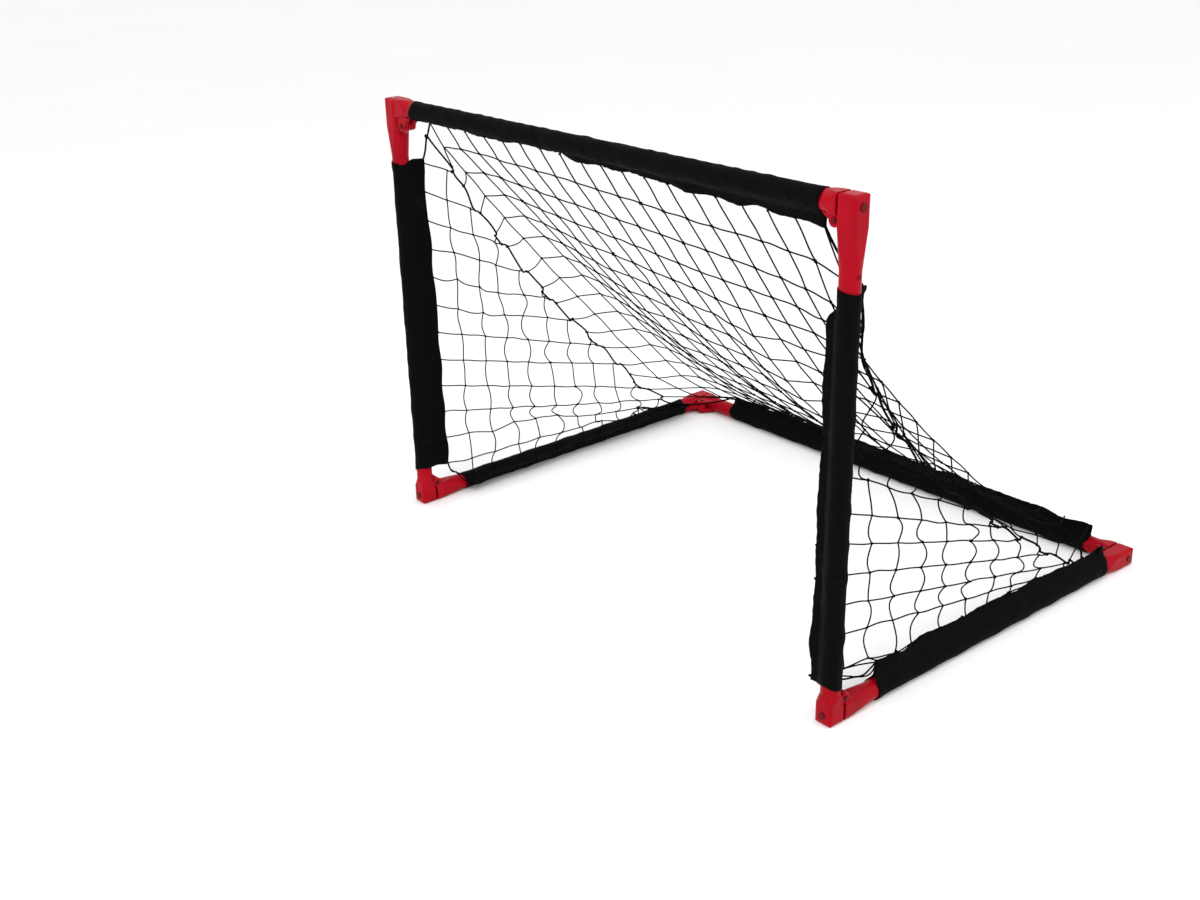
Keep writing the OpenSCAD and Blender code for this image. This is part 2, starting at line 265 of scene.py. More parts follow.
class Nodes:
    """A material's node tree, with short calls for what the finishes share."""

    # Most of a noise's values lie between these
    NOISE_LOW, NOISE_HIGH = 0.3, 0.7

    def __init__(self, name):
        self.material = bpy.data.materials.new(name)
        self.material.use_nodes = True
        self.tree = self.material.node_tree
        self.shader = self.tree.nodes["Principled BSDF"]
        self.coords = self.tree.nodes.new("ShaderNodeTexCoord").outputs["Object"]

    def link(self, a, b):
        self.tree.links.new(a, b)

    def set(self, **values):
        """Set the shader's own sockets."""
        for name, value in values.items():
            socket = self.shader.inputs[name.replace("_", " ")]
            socket.default_value = (*value, 1) if hasattr(value, "__len__") else value

    def noise(self, scale, detail, roughness, distortion=0.0):
        node = self.tree.nodes.new("ShaderNodeTexNoise")
        node.inputs["Scale"].default_value = scale
        node.inputs["Detail"].default_value = detail
        node.inputs["Roughness"].default_value = roughness
        node.inputs["Distortion"].default_value = distortion
        self.link(self.coords, node.inputs["Vector"])
        return node.outputs["Fac"]

    def wave(self, scale, direction, distortion):
        node = self.tree.nodes.new("ShaderNodeTexWave")
        node.wave_type = "BANDS"
        node.bands_direction = direction
        node.inputs["Scale"].default_value = scale
        node.inputs["Distortion"].default_value = distortion
        self.link(self.coords, node.inputs["Vector"])
        return node.outputs["Fac"]

    def product(self, a, b):
        node = self.tree.nodes.new("ShaderNodeMath")
        node.operation = "MULTIPLY"
        self.link(a, node.inputs[0])
        self.link(b, node.inputs[1])
        return node.outputs[0]

    def ramp(self, value, stops):
        """Colours by value; stops are (position, colour)."""
        node = self.tree.nodes.new("ShaderNodeValToRGB")
        while len(node.color_ramp.elements) < len(stops):
            node.color_ramp.elements.new(0.5)
        for element, (at, colour) in zip(node.color_ramp.elements, stops):
            element.position = at
            element.color = (*colour, 1)
        self.link(value, node.inputs["Fac"])
        return node.outputs["Color"]

    def between(self, value, low, high):
        """A noise spread over the range from low to high."""
        node = self.tree.nodes.new("ShaderNodeMapRange")
        node.inputs["From Min"].default_value = self.NOISE_LOW
        node.inputs["From Max"].default_value = self.NOISE_HIGH
        node.inputs["To Min"].default_value = low
        node.inputs["To Max"].default_value = high
        self.link(value, node.inputs["Value"])
        return node.outputs["Result"]

    def bump(self, height, strength, distance, under=None):
        node = self.tree.nodes.new("ShaderNodeBump")
        node.inputs["Strength"].default_value = strength
        node.inputs["Distance"].default_value = distance
        self.link(height, node.inputs["Height"])
        if under is not None:
            self.link(under, node.inputs["Normal"])
        return node.outputs["Normal"]


def shade(colour, factor):
    """A lighter or darker shade of a colour."""
    return tuple(min(1.0, c * factor) for c in colour)


def moulded_plastic(settings):
    """Satin red plastic: fine mould grain, slow unevenness and a few rubbed places."""
    n = Nodes("moulded_red_plastic")
    red = tuple(settings.red)
    cloud = n.noise(14, 4, 0.6)
    rubbed = (red[0] * 1.12, red[1] + 0.008, red[2] + 0.010)
    n.link(
        n.ramp(cloud, [(0.25, shade(red, 0.78)), (0.6, red), (0.86, rubbed)]),
        n.shader.inputs["Base Color"],
    )
    n.link(
        n.between(n.noise(55, 5, 0.65), settings.roughness - 0.07, settings.roughness + 0.12),
        n.shader.inputs["Roughness"],
    )
    grain = n.bump(n.noise(1400, 2, 0.5), 0.25, 0.0002)
    sink = n.bump(n.noise(38, 3, 0.5), 0.35, 0.0012, grain)
    n.link(sink, n.shader.inputs["Normal"])
    n.set(IOR=1.49, Specular_IOR_Level=0.07)
    return n.material


def woven_cloth(settings):
    """Black woven polyester: crossing threads, soft creases, and lighter patches that are
    partly dust and partly painted sheen.
    """
    n = Nodes("woven_black_cloth")
    black = tuple(settings.colour)
    # Lighter patches, up to 3.6 times the cloth's colour: partly dust and partly painted sheen.
    # The same noise also raises the roughness, as the dust does.
    dust_and_sheen = n.noise(26, 6, 0.7)
    n.link(
        n.ramp(dust_and_sheen, [(0.3, shade(black, 0.7)), (0.6, black), (0.85, shade(black, 3.6))]),
        n.shader.inputs["Base Color"],
    )
    weave = n.product(n.wave(700, "DIAGONAL", 0.4), n.wave(700, "Y", 0.4))
    threads = n.bump(weave, 0.5, 0.0003)
    creases = n.bump(n.noise(42, 5, 0.62, 0.6), 0.55, 0.004, threads)
    n.link(creases, n.shader.inputs["Normal"])
    n.link(n.between(dust_and_sheen, 0.62, 0.86), n.shader.inputs["Roughness"])
    n.set(
        Sheen_Weight=0.006, Sheen_Roughness=0.45, Sheen_Tint=(0.75, 0.75, 0.8),
        Specular_IOR_Level=0.035,
    )
    return n.material


def twisted_cord(name, colour, pitch):
    """Twisted polyester cord: strands that wind round it, and fuzz."""
    n = Nodes(name)
    tone = n.noise(60, 5, 0.7)
    n.link(
        n.ramp(tone, [(0.3, shade(colour, 0.6)), (0.65, colour), (0.9, shade(colour, 2.2))]),
        n.shader.inputs["Base Color"],
    )
    strands = n.bump(n.wave(pitch, "DIAGONAL", 1.2), 0.7, 0.0005)
    n.link(n.bump(n.noise(900, 3, 0.6), 0.4, 0.0003, strands), n.shader.inputs["Normal"])
    n.link(n.between(tone, 0.68, 0.9), n.shader.inputs["Roughness"])
    n.set(Sheen_Weight=0.004, Sheen_Roughness=0.5, Specular_IOR_Level=0.03)
    return n.material


def painted_steel():
    """Steel under dark red paint: uneven tone here and there and a slight orange peel."""
    n = Nodes("painted_dark_red_steel")
    stain = n.noise(160, 5, 0.6)
    n.link(
        n.ramp(stain, [(0.3, (0.055, 0.001, 0.003)), (0.7, (0.13, 0.001, 0.005))]),
        n.shader.inputs["Base Color"],
    )
    n.link(n.between(stain, 0.35, 0.55), n.shader.inputs["Roughness"])
    n.link(n.bump(n.noise(700, 3, 0.5), 0.3, 0.0002), n.shader.inputs["Normal"])
    n.set(Specular_IOR_Level=0.12)
    return n.material


def tube_plastic():
    """Dark extruded tube: faintly uneven tone and a fine bump."""
    n = Nodes("extruded_grey_tube")
    cloud = n.noise(30, 4, 0.6)
    n.link(
        n.ramp(cloud, [(0.3, (0.02, 0.02, 0.021)), (0.75, (0.045, 0.045, 0.047))]),
        n.shader.inputs["Base Color"],
    )
    n.link(n.between(cloud, 0.4, 0.6), n.shader.inputs["Roughness"])
    n.link(n.bump(n.noise(300, 3, 0.5), 0.3, 0.0004), n.shader.inputs["Normal"])
    return n.material


def floor_finish(settings):
    """Matt pale floor, very slightly uneven in tone."""
    n = Nodes("pale_floor")
    pale = tuple(settings.floor)
    n.link(
        n.ramp(n.noise(1.2, 3, 0.5), [(0.3, shade(pale, 0.985)), (0.7, pale)]),
        n.shader.inputs["Base Color"],
    )
    n.set(Roughness=0.75, Specular_IOR_Level=0.15)
    return n.material


def dress(obj, material, smooth=True):
    """Give an object one material, and smooth shading if asked."""
    obj.data.materials.clear()
    obj.data.materials.append(material)
    if smooth:
        obj.data.polygons.foreach_set("use_smooth", [True] * len(obj.data.polygons))


# ---------------------------------------------------------------- mesh helpers


def mesh_object(name, vertices, faces, material, smooth=True):
    mesh = bpy.data.meshes.new(name)
    mesh.from_pydata([tuple(v) for v in vertices], [], faces)
    mesh.update()
    obj = bpy.data.objects.new(name, mesh)
    bpy.context.scene.collection.objects.link(obj)
    dress(obj, material, smooth)
    return obj


class Waves:
    """Smooth seeded unevenness: a sum of sine waves in one or two directions."""

    def __init__(self, rng, count, shortest, longest, turns=0):
        self.along = 2 * math.pi / rng.uniform(shortest, longest, count)
        self.round = rng.integers(-turns, turns + 1, count) if turns else np.zeros(count)
        self.phase = rng.uniform(0, 2 * math.pi, count)
        self.weight = rng.uniform(0.5, 1.0, count) / math.sqrt(count / 2)

    def at(self, along, angle=0.0):
        along, angle = np.broadcast_arrays(along, angle)
        waves = along[..., None] * self.along + angle[..., None] * self.round + self.phase
        return (np.sin(waves) * self.weight).sum(-1)


def smooth_step(value):
    """0 below 0, 1 above 1, and an S-shaped rise between."""
    value = np.clip(value, 0.0, 1.0)
    return value * value * (3 - 2 * value)


def uneven(rng, spread):
    """A factor near 1, as hand work gives."""
    return 1 + spread * rng.normal()


def band_faces(rings, around):
    """The faces between closed rings of points, ring after ring."""
    faces = []
    for i in range(rings - 1):
        for k in range(around):
            m = (k + 1) % around
            faces.append([i * around + k, i * around + m,
                          (i + 1) * around + m, (i + 1) * around + k])
    return faces


class CordMesh:
    """Gathers cords and knots into one mesh."""

    # A knot's half length and its lumps, as shares of its size
    KNOT_HALF, LUMPS = 0.62, 0.14

    def __init__(self):
        self.vertices, self.faces, self.count = [], [], 0

    def add(self, points, faces):
        self.vertices.append(points)
        self.faces.extend([[i + self.count for i in face] for face in faces])
        self.count += len(points)

    def tube(self, path, radius, around):
        """A closed tube along a path of points."""
        path = np.asarray(path, float)
        along = np.gradient(path, axis=0)
        along /= np.linalg.norm(along, axis=1)[:, None] + 1e-12
        side = np.cross(along[0], Z if abs(along[0][2]) < 0.9 else X)
        turn = np.arange(around) * 2 * math.pi / around
        rings = []
        for p, a in zip(path, along):
            side = side - a * (side @ a)
            side /= np.linalg.norm(side) + 1e-12
            other = np.cross(a, side)
            ring = np.outer(np.cos(turn), side) + np.outer(np.sin(turn), other)
            rings.append(p + radius * ring)
        faces = band_faces(len(path), around)
        last = (len(path) - 1) * around
        faces.append(list(range(around))[::-1])
        faces.append([last + k for k in range(around)])
        self.add(np.concatenate(rings), faces)

    def knot(self, at, size, rng):
        """A small lumpy ball, a little longer one way, as a knot is."""
        rings, around = 4, 6
        axis = rng.normal(size=3)
        axis /= np.linalg.norm(axis)
        side = np.cross(axis, Z + 0.1 * X)
        side /= np.linalg.norm(side)
        other = np.cross(axis, side)
        tip = axis * size * self.KNOT_HALF
        points = [at + tip]
        for i in range(1, rings):
            polar = math.pi * i / rings
            for k in range(around):
                turn = 2 * math.pi * k / around
                lump = 1 + self.LUMPS * math.sin(3 * turn + 5 * polar)
                r = size * 0.5 * math.sin(polar) * lump
                points.append(at + tip * math.cos(polar)
                              + r * (math.cos(turn) * side + math.sin(turn) * other))
        points.append(at - tip)
        faces = [[0, 1 + k, 1 + (k + 1) % around] for k in range(around)]
        for i in range(rings - 2):
            for k in range(around):
                m = (k + 1) % around
                a, b = 1 + i * around, 1 + (i + 1) * around
                faces.append([a + k, b + k, b + m, a + m])
        end = len(points) - 1
        base = 1 + (rings - 2) * around
        faces += [[end, base + (k + 1) % around, base + k] for k in range(around)]
        self.add(np.array(points), faces)

    def make(self, name, material):
        return mesh_object(name, np.concatenate(self.vertices), self.faces, material)


# ---------------------------------------------------------------- sleeves


class GOAL_OT_sleeves(bpy.types.Operator):
    """Make the six cloth sleeves, each with its sewn hem"""

    bl_idname = "goal.sleeves"
    bl_label = "Sleeves"

    # Between rings of points, along the bar
    STEP = 0.007
    # The hem's upper face, from near its edge to the round part: (out, half the thickness)
    HEM_FACE = (
        (0.0402, 0.00135), (0.036, 0.00125), (0.032, 0.0013), (0.028, 0.0016),
        (0.0245, 0.0032), (0.0205, 0.0068), (0.0163, 0.0108),
    )
    # Where the round part ends on each side of the hem's direction, in degrees
    ROUND_FROM = 52
    # Where the cloth leaves the round part, and where it starts to lie flat and over what width
    FOLD = 0.0163
    FLAT_FROM, FLAT_OVER = 0.019, 0.02
    # A sleeve's turned end: its width, the step it ends in and how far it stands out
    END_HEM, END_STEP, END_RISE = 0.013, 0.004, 0.0006
    # Deepest crease as a share of the height, the hem's uneven width and its short ripples
    DEEPEST, WIDTH_WAVE, RIPPLE = -0.25, 0.0016, 0.0007
    # How far a cut end runs in and out, and how far along the sleeve that is felt
    RAGGED, RAGGED_OVER = 0.0032, 0.02
    # Stitches: length, pitch, the thread's radius, the rows' places in from the hem's edge,
    # how far the thread lies from the hem's middle, its hump, and the ends left unsewn
    STITCH, PITCH, THREAD = 0.0040, 0.0062, 0.00035
    ROWS = (0.0130, 0.0040)
    THREAD_OUT, HUMP, UNSEWN = 0.00175, 0.0003, 0.006

    def profile(self, s):
        """The cloth's outline round a bar: [along the hem's direction, across it]."""
        round_part = [
            (s.radius * math.cos(a), s.radius * math.sin(a))
            for a in np.linspace(
                math.radians(self.ROUND_FROM), math.radians(360 - self.ROUND_FROM), 30
            )
        ]
        below = [(x, -y) for x, y in reversed(self.HEM_FACE)]
        return np.array([(s.hem, 0.0), *self.HEM_FACE, *round_part, *below])

    def flat(self, out):
        """0 on the round part and 1 on the flat hem, by the distance from the bar's middle."""
        return smooth_step((out - self.FLAT_FROM) / self.FLAT_OVER)

    def cloth(self, name, material, s, rng):
        """One sleeve: rings of points along its bar, from its outline and its hem's course."""
        hem = Hem(name)
        outline = self.profile(s)
        turn = np.arctan2(outline[:, 1], outline[:, 0])
        out = outline / np.linalg.norm(outline, axis=1)[:, None]
        flap = self.flat(outline[:, 0])
        fold = np.maximum(outline[:, 0] - self.FOLD, 0.0)
        stations = np.linspace(hem.start, hem.end, int((hem.end - hem.start) / self.STEP) + 1)
        creases = Waves(rng, 14, 0.028, 0.14, 4)
        ripples = Waves(rng, 8, 0.016, 0.034)
        sway = Waves(rng, 6, 0.07, 0.32)
        width = Waves(rng, 5, 0.05, 0.2)
        ragged = [Waves(rng, 4, 1.5, 3.0, 3), Waves(rng, 4, 1.5, 3.0, 3)]
        rings = []
        for place in stations:
            inset = min(place - hem.start, hem.end - place)
            ring = outline.copy()
            ring[:, 0] += fold * ((hem.reach(place) - self.FOLD) / (s.hem - self.FOLD) - 1)
            crease = np.maximum(creases.at(place, turn), self.DEEPEST)
            ring += out * (s.wrinkle * crease * (1 - flap))[:, None]
            turned = 1 - smooth_step((inset - self.END_HEM) / self.END_STEP)
            ring += out * (self.END_RISE * turned * (1 - 0.5 * flap))[:, None]
            ring[:, 0] += self.WIDTH_WAVE * width.at(place) * flap
            ring[:, 1] += (s.wave * sway.at(place) + self.RIPPLE * ripples.at(place)) * flap
            frayed = ragged[0 if place - hem.start < hem.end - place else 1].at(0.0, turn)
            shift = self.RAGGED * frayed * (1 - smooth_step(inset / self.RAGGED_OVER))
            towards, across = hem.directions(place)
            rings.append(
                hem.axis
                + np.outer(ring[:, 0], towards)
                + np.outer(ring[:, 1], across)
                + np.outer(place + shift, hem.along)
            )
        vertices = np.concatenate(rings)
        vertices[:, 2] = np.maximum(vertices[:, 2], s.cloth)
        faces = band_faces(len(stations), len(outline))
        obj = mesh_object(name + "_cloth", vertices, faces, material)
        thick = obj.modifiers.new("cloth", "SOLIDIFY")
        thick.thickness = s.cloth
        thick.offset = -1.0
        thick.use_even_offset = False
        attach(obj, hem.body)
        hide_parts(name)
        around = np.linalg.norm(outline - np.roll(outline, 1, axis=0), axis=1).sum()
        around += 2 * (np.mean([hem.reach(place) for place in stations]) - s.hem)
        stitching = self.stitches(name, hem, sway, s, rng)
        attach(stitching, hem.body)

    def stitches(self, name, hem, sway, s, rng):
        """Two rows of thread along the hem, on both faces."""
        thread = CordMesh()
        for from_edge in self.ROWS:
            for face in (-1, 1):
                place = hem.start + self.UNSEWN
                while place < hem.end - self.UNSEWN:
                    stitch = []
                    for step in (0.0, 0.5, 1.0):
                        p = place + step * self.STITCH
                        row = hem.reach(p) - from_edge
                        towards, across = hem.directions(p)
                        side = self.THREAD_OUT * face
                        side += self.HUMP * face * math.sin(math.pi * step)
                        side += s.wave * float(sway.at(p)) * self.flat(row)
                        stitch.append(hem.axis + towards * row + across * side + hem.along * p)
                    thread.tube(stitch, self.THREAD, 4)
                    place += self.PITCH * uneven(rng, 0.04)
        return thread.make(name + "_stitching", bpy.data.materials["sewing_thread"])

    def execute(self, context):
        s = context.scene.goal.sleeves
        material = woven_cloth(s)
        twisted_cord("sewing_thread", shade(tuple(s.colour), 2.2), 900)
        for number, name in enumerate(SLEEVES):
            self.cloth(name, material, s, np.random.default_rng(40 + number))
        return {"FINISHED"}


# ---------------------------------------------------------------- nets


class Web:
    """Knots joined by cords, settled under their own weight."""

    # The share of its speed that a knot keeps, the passes over the cords in a step, how much
    # further than its share a cord pulls, and the height that a knot stays above the floor
    KEPT_SPEED = 0.94
    PASSES = 14
    OVERPULL = 1.7
    FLOOR_GAP = 0.004

    def __init__(self):
        self.points, self.fixed, self.heavy, self.cords = [], [], [], []

    def knot(self, at, fixed=False, heavy=False):
        """Add a knot and return its number."""
        self.points.append(np.array(at, float))
        self.fixed.append(fixed)
        self.heavy.append(heavy)
        return len(self.points) - 1

    def tie(self, a, b, length, net, role="mesh"):
        """Join two knots by a cord; its role is mesh, tie or corner."""
        self.cords.append((a, b, length, net, role))

    def settle(self, steps, weight):
        """Verlet steps with cords that pull but never push."""
        p = np.array(self.points)
        free = 1.0 - np.array(self.fixed, float)
        a = np.array([c[0] for c in self.cords])
        b = np.array([c[1] for c in self.cords])
        rest = np.array([c[2] for c in self.cords])
        share = free[a] + free[b]
        share[share == 0] = 1
        use = np.zeros(len(p))
        np.add.at(use, a, 1)
        np.add.at(use, b, 1)
        before = p.copy()
        pull_down = np.outer(self.heavy, Z) * weight
        for _ in range(steps):
            move = (p - before) * self.KEPT_SPEED
            before = p.copy()
            p = p + (move - pull_down) * free[:, None]
            for _ in range(self.PASSES):
                d = p[b] - p[a]
                length = np.linalg.norm(d, axis=1) + 1e-12
                pull = np.maximum(length - rest, 0) / length / share
                change = d * pull[:, None]
                total = np.zeros_like(p)
                np.add.at(total, a, change)
                np.add.at(total, b, -change)
                p = p + total * (free / np.maximum(use, 1) * self.OVERPULL)[:, None]
            p[:, 2] = np.maximum(p[:, 2], self.FLOOR_GAP)
        self.points = p


class GOAL_OT_nets(bpy.types.Operator):
    """Knot the roof net, both side nets and the seam cords, and let them settle"""

    bl_idname = "goal.nets"
    bl_label = "Nets and seam cords"

    # The seam cords in the goal's side view: (share of the way from the top bar to the back
    # bar, how far the cord lies inside the straight line)
    COURSES = {
        "left": ((0.06, -0.010), (0.10, -0.006), (0.15, 0.006), (0.23, 0.033), (0.30, 0.043),
                 (0.40, 0.060), (0.55, 0.070), (0.70, 0.070), (0.82, 0.076), (0.90, 0.058),
                 (0.94, 0.046)),
        "right": ((0.09, 0.048), (0.12, 0.076), (0.18, 0.133), (0.28, 0.158), (0.39, 0.170),
                  (0.55, 0.158), (0.72, 0.122), (0.87, 0.084), (0.94, 0.056)),
    }
    # How far the line falls short of the way between the bars, and how far inside the post's
    # middle it lies
    CORD_TRIM, CORD_INSIDE = 0.024, 0.015
    # The roof's rungs: first and last share along the cord, unevenness of the share, and length
    FIRST_RUNG, LAST_RUNG, RUNG_DRIFT = 0.13, 0.895, 0.006
    RUNG = {"left": 0.0695, "right": 0.066}
    # The side net's links: the share before the first and the step between, the last share,
    # the length of a single and of a double one, and a double one's spread
    LINK_FROM, LINK_STEP, LAST_LINK = 0.06, 0.0835, 0.935
    LINK, DOUBLE_LINK, DOUBLE_SPREAD = 0.010, 0.022, 0.012
    # How far out of the goal the cord lies at a rung and at a link, and a side net's column
    # ends; below 0 is inwards
    ROOF_LIFT, LINK_LIFT, HEAD_LIFT = 0.004, -0.003, -0.010
    # From a sleeve's end to the nearest knot, a row cord's length over its gap, and the share
    # of the width where the middle slack is
    FROM_SLEEVE_END, ROW_SPARE, SLACK_MIDDLE = 0.006, 1.045, 0.48
    # Side net: what its front knots leave free of the post's sleeve, where its meshes start
    # behind the post, what it leaves free of the side bar's sleeve, and the length over the
    # width of a mesh
    POST_SPARE, BEHIND_POST, BAR_SPARE, COLUMN_SPARE = 0.010, 0.043, 0.004, 1.05
    # The lower front knot: inward of the post, behind where the meshes start and above the
    # back bar's middle
    CORNER = (0.012, 0.036, 0.032)
    # How unevenly a side net's inner knots lie
    KNOT_DRIFT = np.array([0.005, 0.004, 0.003])
    # The length over the gap of the ties at the seam cord's ends and at the front feet
    TIE_SPARE, FOOT_TIE_SPARE = 1.02, 1.06
    STEPS, QUICK_STEPS, WEIGHT = 420, 60, 2.2e-5
    # Strands: points, how far spare length makes them bow, the height they stay above the
    # floor, and how much spare length shows and how much they waver, taut or slack
    POINTS, BOW, STRAND_FLOOR = 7, 0.42, 0.003
    SHOWN, WAVER = {"taut": 0.15, "slack": 1.0}, {"taut": 0.0006, "slack": 0.0011}
    # Unevenness of the knots' size, and the sizes of the seam cord's knots and end knots and
    # the radius of the foot ties, over the cord's diameter
    KNOT_SPREAD, SEAM_KNOT, END_KNOT, FOOT_TIE = 0.12, 1.45, 2.2, 0.38
    # How far the seam cord wanders, and its length
    WANDER, SEAM_LENGTH = 0.0012, 1.15

    def link_share(self, column):
        """Where a side net's column reaches the seam cord."""
        return self.LINK_FROM + self.LINK_STEP * column

    def seam_point(self, name, share, lift=0.0):
        """A point on a seam cord; lift is how far it is pulled out of the goal."""
        run = TOP[2] - BACK[2] - self.CORD_TRIM
        shares, depths = np.array(self.COURSES[name]).T
        depth = np.interp(share, shares, depths) - lift
        return np.array([
            POST[name][0] + INWARD[name] * self.CORD_INSIDE,
            POST[name][1] + run * share - depth / math.sqrt(2),
            BACK[2] + run * (1 - share) - depth / math.sqrt(2),
        ])

    def roof(self, web, s, rng):
        """Knots (column, row): column 1 and the last but one hang from the sleeves' ends."""
        top, back = Hem("top_sleeve"), Hem("back_sleeve")
        inner = s.columns - 1
        top_x, back_x = (
            np.linspace(hem.start + self.FROM_SLEEVE_END, hem.end - self.FROM_SLEEVE_END, inner)
            for hem in (top, back)
        )
        knots = {}
        for i in range(1, s.columns):
            first, last = top.edge(top_x[i - 1]), back.edge(back_x[i - 1])
            chord = np.linalg.norm(last - first)
            spare = np.interp((i - 1) / (inner - 1), (0, self.SLACK_MIDDLE, 1),
                              (s.slack_left, s.slack_middle, s.slack_right))
            sag = chord * math.sqrt(spare * 3 / 8)
            for j in range(s.rows + 1):
                t = j / s.rows
                at = first + (last - first) * t
                at[1:] -= sag * 4 * t * (1 - t) / math.sqrt(2)
                knots[i, j] = web.knot(at, fixed=j in (0, s.rows), heavy=True)
            length = chord * (1 + spare) / s.rows
            for j in range(s.rows):
                web.tie(knots[i, j], knots[i, j + 1], length * uneven(rng, 0.012), "roof")
        across = (top_x[1] - top_x[0]) * self.ROW_SPARE
        for j in range(1, s.rows):
            for i in range(1, s.columns - 1):
                web.tie(knots[i, j], knots[i + 1, j], across * uneven(rng, 0.014), "roof")
        return knots

    def side(self, web, name, s, rng):
        """Knots (column from the post, row from the floor) of the triangular side net."""
        post, bar = Hem(f"{name}_post_sleeve"), Hem(f"{name}_side_sleeve")
        n = s.side_meshes
        up = (post.end - post.start - self.POST_SPARE) / (n - 1)
        front = POST[name][1] + self.BEHIND_POST
        back = (bar.end - front - self.BAR_SPARE) / n
        highest = post.end - self.FROM_SLEEVE_END
        inward, behind, above = self.CORNER
        knots = {}
        for b in range(1, n + 1):
            knots[0, b] = web.knot(post.edge(highest - (n - b) * up), fixed=True)
        knots[0, 0] = web.knot(
            [POST[name][0] + inward * INWARD[name], front + behind, BACK[2] + above], fixed=True
        )
        for a in range(1, n + 1):
            low = bar.edge(front + a * back)
            share = min(self.link_share(a), self.LAST_LINK)
            head = self.seam_point(name, share, self.HEAD_LIFT)
            for b in range(n + 2 - a):
                at = low + (head - low) * b / (n + 1 - a)
                if b:
                    at = at + rng.normal(size=3) * self.KNOT_DRIFT
                knots[a, b] = web.knot(at, fixed=b == 0)
        for a, b in list(knots):
            loose = uneven(rng, 0.03)
            if (a + 1, b) in knots and b > 0:
                length = back * self.COLUMN_SPARE * loose
                web.tie(knots[a, b], knots[a + 1, b], length, name)
            if (a, b + 1) in knots and a > 0:
                web.tie(knots[a, b], knots[a, b + 1], up * loose, name)
        web.tie(knots[0, 0], knots[0, 1], up, name)
        web.tie(knots[0, 0], knots[1, 0], back, name)
        return knots

    def seam(self, web, name, roof, side, s, rng):
        """The thick cord between roof and side: the roof's rungs and the side net's links."""
        column = 1 if name == "left" else s.columns - 1
        n = s.side_meshes
        anchors = []
        rungs = self.LAST_RUNG - self.FIRST_RUNG
        for j in range(1, s.rows):
            share = self.FIRST_RUNG + rungs * (j - 1) / (s.rows - 2)
            share += self.RUNG_DRIFT * rng.normal()
            knot = web.knot(self.seam_point(name, share, self.ROOF_LIFT), fixed=True)
            anchors.append((share, knot))
            web.tie(knot, roof[column, j], self.RUNG[name] * uneven(rng, 0.05), "roof")
        for a in range(1, n + 1):
            doubled = a % 2 == 1 and 1 < a < n - 2
            length = self.DOUBLE_LINK if doubled else self.LINK
            for shift in (-self.DOUBLE_SPREAD, self.DOUBLE_SPREAD) if doubled else (0.0,):
                share = min(self.link_share(a) + shift, self.LAST_LINK)
                knot = web.knot(self.seam_point(name, share, self.LINK_LIFT), fixed=True)
                anchors.append((share, knot))
                web.tie(knot, side[a, n + 1 - a], length, name)
        for share, _ in (self.COURSES[name][0], self.COURSES[name][-1]):
            anchors.append((share, web.knot(self.seam_point(name, share), fixed=True)))
        anchors.sort()
        line = [knot for _, knot in anchors]
        top, back = Hem("top_sleeve"), Hem("back_sleeve")
        post, bar = Hem(f"{name}_post_sleeve"), Hem(f"{name}_side_sleeve")
        left = name == "left"
        for sleeve, place, to in (
            (top, top.start if left else top.end, line[0]),
            (post, post.end, line[0]),
            (back, back.start if left else back.end, line[-1]),
            (bar, bar.end, line[-1]),
        ):
            corner = web.knot(sleeve.edge(place), fixed=True)
            gap = np.linalg.norm(web.points[corner] - web.points[to])
            web.tie(corner, to, gap * self.TIE_SPARE, name, "tie")
        for sleeve in (post, bar):
            corner = web.knot(sleeve.edge(sleeve.start), fixed=True)
            gap = np.linalg.norm(web.points[corner] - web.points[side[0, 0]])
            web.tie(corner, side[0, 0], gap * self.FOOT_TIE_SPARE, name, "corner")
        return line

    def execute(self, context):
        s = context.scene.goal.nets
        rng = np.random.default_rng(7)
        web = Web()
        roof = self.roof(web, s, rng)
        side, seams = {}, {}
        for name in SIDES:
            side[name] = self.side(web, name, s, rng)
            seams[name] = self.seam(web, name, roof, side[name], s, rng)
        web.settle(self.STEPS, self.WEIGHT)
        self.build(web, roof, side, seams, s, rng)
        return {"FINISHED"}

    def strand(self, a, b, rest, hang, rng):
        """The path of one cord between two knots: a slack one droops, or bows if upright."""
        d = b - a
        gap = np.linalg.norm(d)
        spare = max(rest - gap, 0.0) * self.SHOWN[hang]
        waver = self.WAVER[hang]
        t = np.linspace(0, 1, self.POINTS)
        hump = np.sin(math.pi * t)
        path = a + np.outer(t, d)
        bow = rng.normal(size=3) * np.array([0.5, 1.0, 0.2]) - Z
        bow -= d * (bow @ d) / (gap * gap + 1e-9)
        bow /= np.linalg.norm(bow) + 1e-9
        path += np.outer(hump, bow) * self.BOW * math.sqrt(spare * max(gap, 1e-4))
        path += np.outer(hump, rng.normal(size=3) * waver)
        path += np.outer(np.sin(2 * math.pi * t), rng.normal(size=3) * waver * 0.5)
        path[:, 2] = np.maximum(path[:, 2], self.STRAND_FLOOR)
        return path

